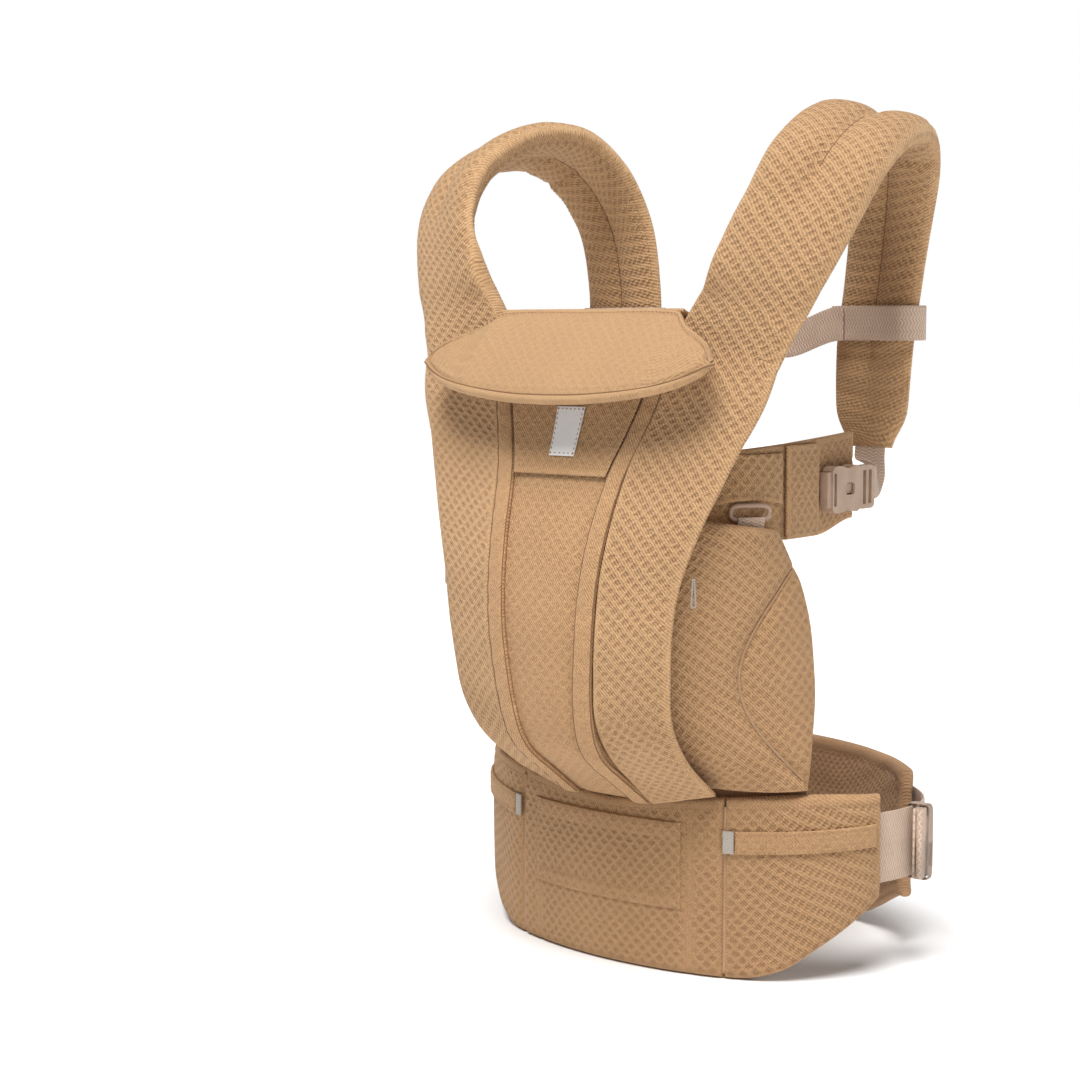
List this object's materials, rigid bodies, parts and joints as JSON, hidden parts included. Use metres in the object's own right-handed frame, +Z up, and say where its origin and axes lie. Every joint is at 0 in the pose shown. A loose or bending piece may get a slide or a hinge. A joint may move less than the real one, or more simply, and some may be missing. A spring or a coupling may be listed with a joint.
{
  "type": "soft baby carrier",
  "caption": "Soft structured baby carrier with a padded waistbelt ring, curved body panel, fold-down head support, looped shoulder straps and side-release buckles.",
  "frame": {"origin": "middle of the bounding box, on the floor under the waistbelt", "axes": "+Z up, -Y out of the front face of the body panel, X left to right"},
  "size_m": [0.395, 0.3088, 0.607],
  "materials": {
    "knit": "three-dimensional spacer knit with staggered dimples, matt",
    "padded_knit": "padded spacer knit with stitched edges, matt",
    "lining": "soft knit lining, matt",
    "webbing": "woven polyester webbing, slight sheen",
    "elastic_tape": "light grey ribbed elastic",
    "label_cloth": "plain pale woven patch",
    "moulded_plastic": "moulded acetal, fine grain"
  },
  "bodies": {
    "carrier": {"waistbelt_front": "knit", "belt_front_patch": "knit", "waistbelt_wing_right": "knit", "pocket_band_right": "knit", "elastic_tab_right": "elastic_tape", "waistbelt_wing_left": "knit", "pocket_band_left": "knit", "elastic_tab_left": "elastic_tape", "lumbar_pad": "lining", "waist_webbing_right": "webbing", "waist_webbing_rear": "webbing", "waist_webbing_left": "webbing", "webbing_roll": "webbing", "center_panel": "knit", "inner_liner": "lining", "front_flap": "knit", "label_patch": "label_cloth", "seam_binding_right": "knit", "seam_binding_left": "knit", "shoulder_strap_right": "padded_knit", "shoulder_strap_left": "padded_knit", "seat_wing_right": "knit", "seat_wing_left": "knit", "side_tab_right": "knit", "tab_cover_right": "knit", "tab_ring_right": "moulded_plastic", "side_tab_left": "knit", "tab_cover_left": "knit", "tab_ring_left": "moulded_plastic", "shoulder_buckle_right_female": "moulded_plastic", "shoulder_buckle_left_female": "moulded_plastic", "waist_buckle_female": "moulded_plastic"},
    "head_support": {"head_support": "padded_knit"},
    "shoulder_buckle_right_male": {"shoulder_buckle_right_male": "moulded_plastic", "strap_webbing_right": "webbing"},
    "shoulder_buckle_right_prong_upper": {"shoulder_buckle_right_prong_upper": "moulded_plastic"},
    "shoulder_buckle_right_prong_lower": {"shoulder_buckle_right_prong_lower": "moulded_plastic"},
    "shoulder_buckle_left_male": {"shoulder_buckle_left_male": "moulded_plastic", "strap_webbing_left": "webbing"},
    "shoulder_buckle_left_prong_upper": {"shoulder_buckle_left_prong_upper": "moulded_plastic"},
    "shoulder_buckle_left_prong_lower": {"shoulder_buckle_left_prong_lower": "moulded_plastic"},
    "chest_strap": {"chest_loop_right": "webbing", "chest_loop_left": "webbing", "chest_webbing_right": "webbing", "chest_webbing_left": "webbing", "chest_buckle_female": "moulded_plastic"},
    "chest_buckle_male": {"chest_buckle_male": "moulded_plastic"},
    "chest_buckle_prong_upper": {"chest_buckle_prong_upper": "moulded_plastic"},
    "chest_buckle_prong_lower": {"chest_buckle_prong_lower": "moulded_plastic"},
    "waist_buckle_male": {"waist_buckle_male": "moulded_plastic", "waist_webbing_tail": "webbing"},
    "waist_buckle_prong_upper": {"waist_buckle_prong_upper": "moulded_plastic"},
    "waist_buckle_prong_lower": {"waist_buckle_prong_lower": "moulded_plastic"},
    "webbing_keeper": {"webbing_keeper": "elastic_tape"},
    "zip_pull_right": {"zip_pull_right": "elastic_tape"},
    "zip_pull_left": {"zip_pull_left": "elastic_tape"}
  },
  "joints": [
    {"name": "head_support_fold", "type": "hinge", "parent": "carrier", "child": "head_support", "pos_m": [0, -0.08725, 0.466], "axis": [-1, 0, 0], "range_deg": [0, 92]},
    {"name": "shoulder_buckle_right_release", "type": "slide", "parent": "carrier", "child": "shoulder_buckle_right_male", "axis": [0, 1, 0], "range_m": [0, 0.032]},
    {"name": "shoulder_buckle_right_prong_upper_press", "type": "hinge", "parent": "shoulder_buckle_right_male", "child": "shoulder_buckle_right_prong_upper", "pos_m": [0.13, 0.04025, 0.3516], "axis": [1, 0, 0], "range_deg": [0, 6], "stiffness_Nm_per_rad": 0.6},
    {"name": "shoulder_buckle_right_prong_lower_press", "type": "hinge", "parent": "shoulder_buckle_right_male", "child": "shoulder_buckle_right_prong_lower", "pos_m": [0.13, 0.04025, 0.3304], "axis": [-1, 0, 0], "range_deg": [0, 6], "stiffness_Nm_per_rad": 0.6},
    {"name": "shoulder_buckle_left_release", "type": "slide", "parent": "carrier", "child": "shoulder_buckle_left_male", "axis": [0, 1, 0], "range_m": [0, 0.032]},
    {"name": "shoulder_buckle_left_prong_upper_press", "type": "hinge", "parent": "shoulder_buckle_left_male", "child": "shoulder_buckle_left_prong_upper", "pos_m": [-0.13, 0.04025, 0.3516], "axis": [1, 0, 0], "range_deg": [0, 6], "stiffness_Nm_per_rad": 0.6},
    {"name": "shoulder_buckle_left_prong_lower_press", "type": "hinge", "parent": "shoulder_buckle_left_male", "child": "shoulder_buckle_left_prong_lower", "pos_m": [-0.13, 0.04025, 0.3304], "axis": [-1, 0, 0], "range_deg": [0, 6], "stiffness_Nm_per_rad": 0.6},
    {"name": "chest_strap_height", "type": "slide", "parent": "carrier", "child": "chest_strap", "axis": [0, 0, 1], "range_m": [-0.03, 0.015]},
    {"name": "chest_buckle_release", "type": "slide", "parent": "chest_strap", "child": "chest_buckle_male", "axis": [1, 0, 0], "range_m": [0, 0.032]},
    {"name": "chest_buckle_prong_upper_press", "type": "hinge", "parent": "chest_buckle_male", "child": "chest_buckle_prong_upper", "pos_m": [0.0095, 0.07296, 0.4546], "axis": [0, -1, 0], "range_deg": [0, 6], "stiffness_Nm_per_rad": 0.6},
    {"name": "chest_buckle_prong_lower_press", "type": "hinge", "parent": "chest_buckle_male", "child": "chest_buckle_prong_lower", "pos_m": [0.0095, 0.07296, 0.4334], "axis": [0, 1, 0], "range_deg": [0, 6], "stiffness_Nm_per_rad": 0.6},
    {"name": "waist_buckle_release", "type": "slide", "parent": "carrier", "child": "waist_buckle_male", "axis": [0.2079, 0.9781, 0], "range_m": [0, 0.044]},
    {"name": "waist_buckle_prong_upper_press", "type": "hinge", "parent": "waist_buckle_male", "child": "waist_buckle_prong_upper", "pos_m": [-0.16662, 0.07556, 0.10958], "axis": [0.9781, -0.2079, 0], "range_deg": [0, 6], "stiffness_Nm_per_rad": 0.6},
    {"name": "waist_buckle_prong_lower_press", "type": "hinge", "parent": "waist_buckle_male", "child": "waist_buckle_prong_lower", "pos_m": [-0.16662, 0.07556, 0.06442], "axis": [-0.9781, 0.2079, 0], "range_deg": [0, 6], "stiffness_Nm_per_rad": 0.6},
    {"name": "webbing_keeper_slide", "type": "slide", "parent": "carrier", "child": "webbing_keeper", "axis": [-0.0872, 0.9962, 0], "range_m": [-0.005, 0.005]},
    {"name": "zip_pull_right_swing", "type": "hinge", "parent": "carrier", "child": "zip_pull_right", "pos_m": [0.1096, -0.1263, 0.289], "axis": [0, 1, 0], "range_deg": [-30, 0]},
    {"name": "zip_pull_left_swing", "type": "hinge", "parent": "carrier", "child": "zip_pull_left", "pos_m": [-0.1096, -0.1263, 0.289], "axis": [0, -1, 0], "range_deg": [-30, 0]}
  ]
}
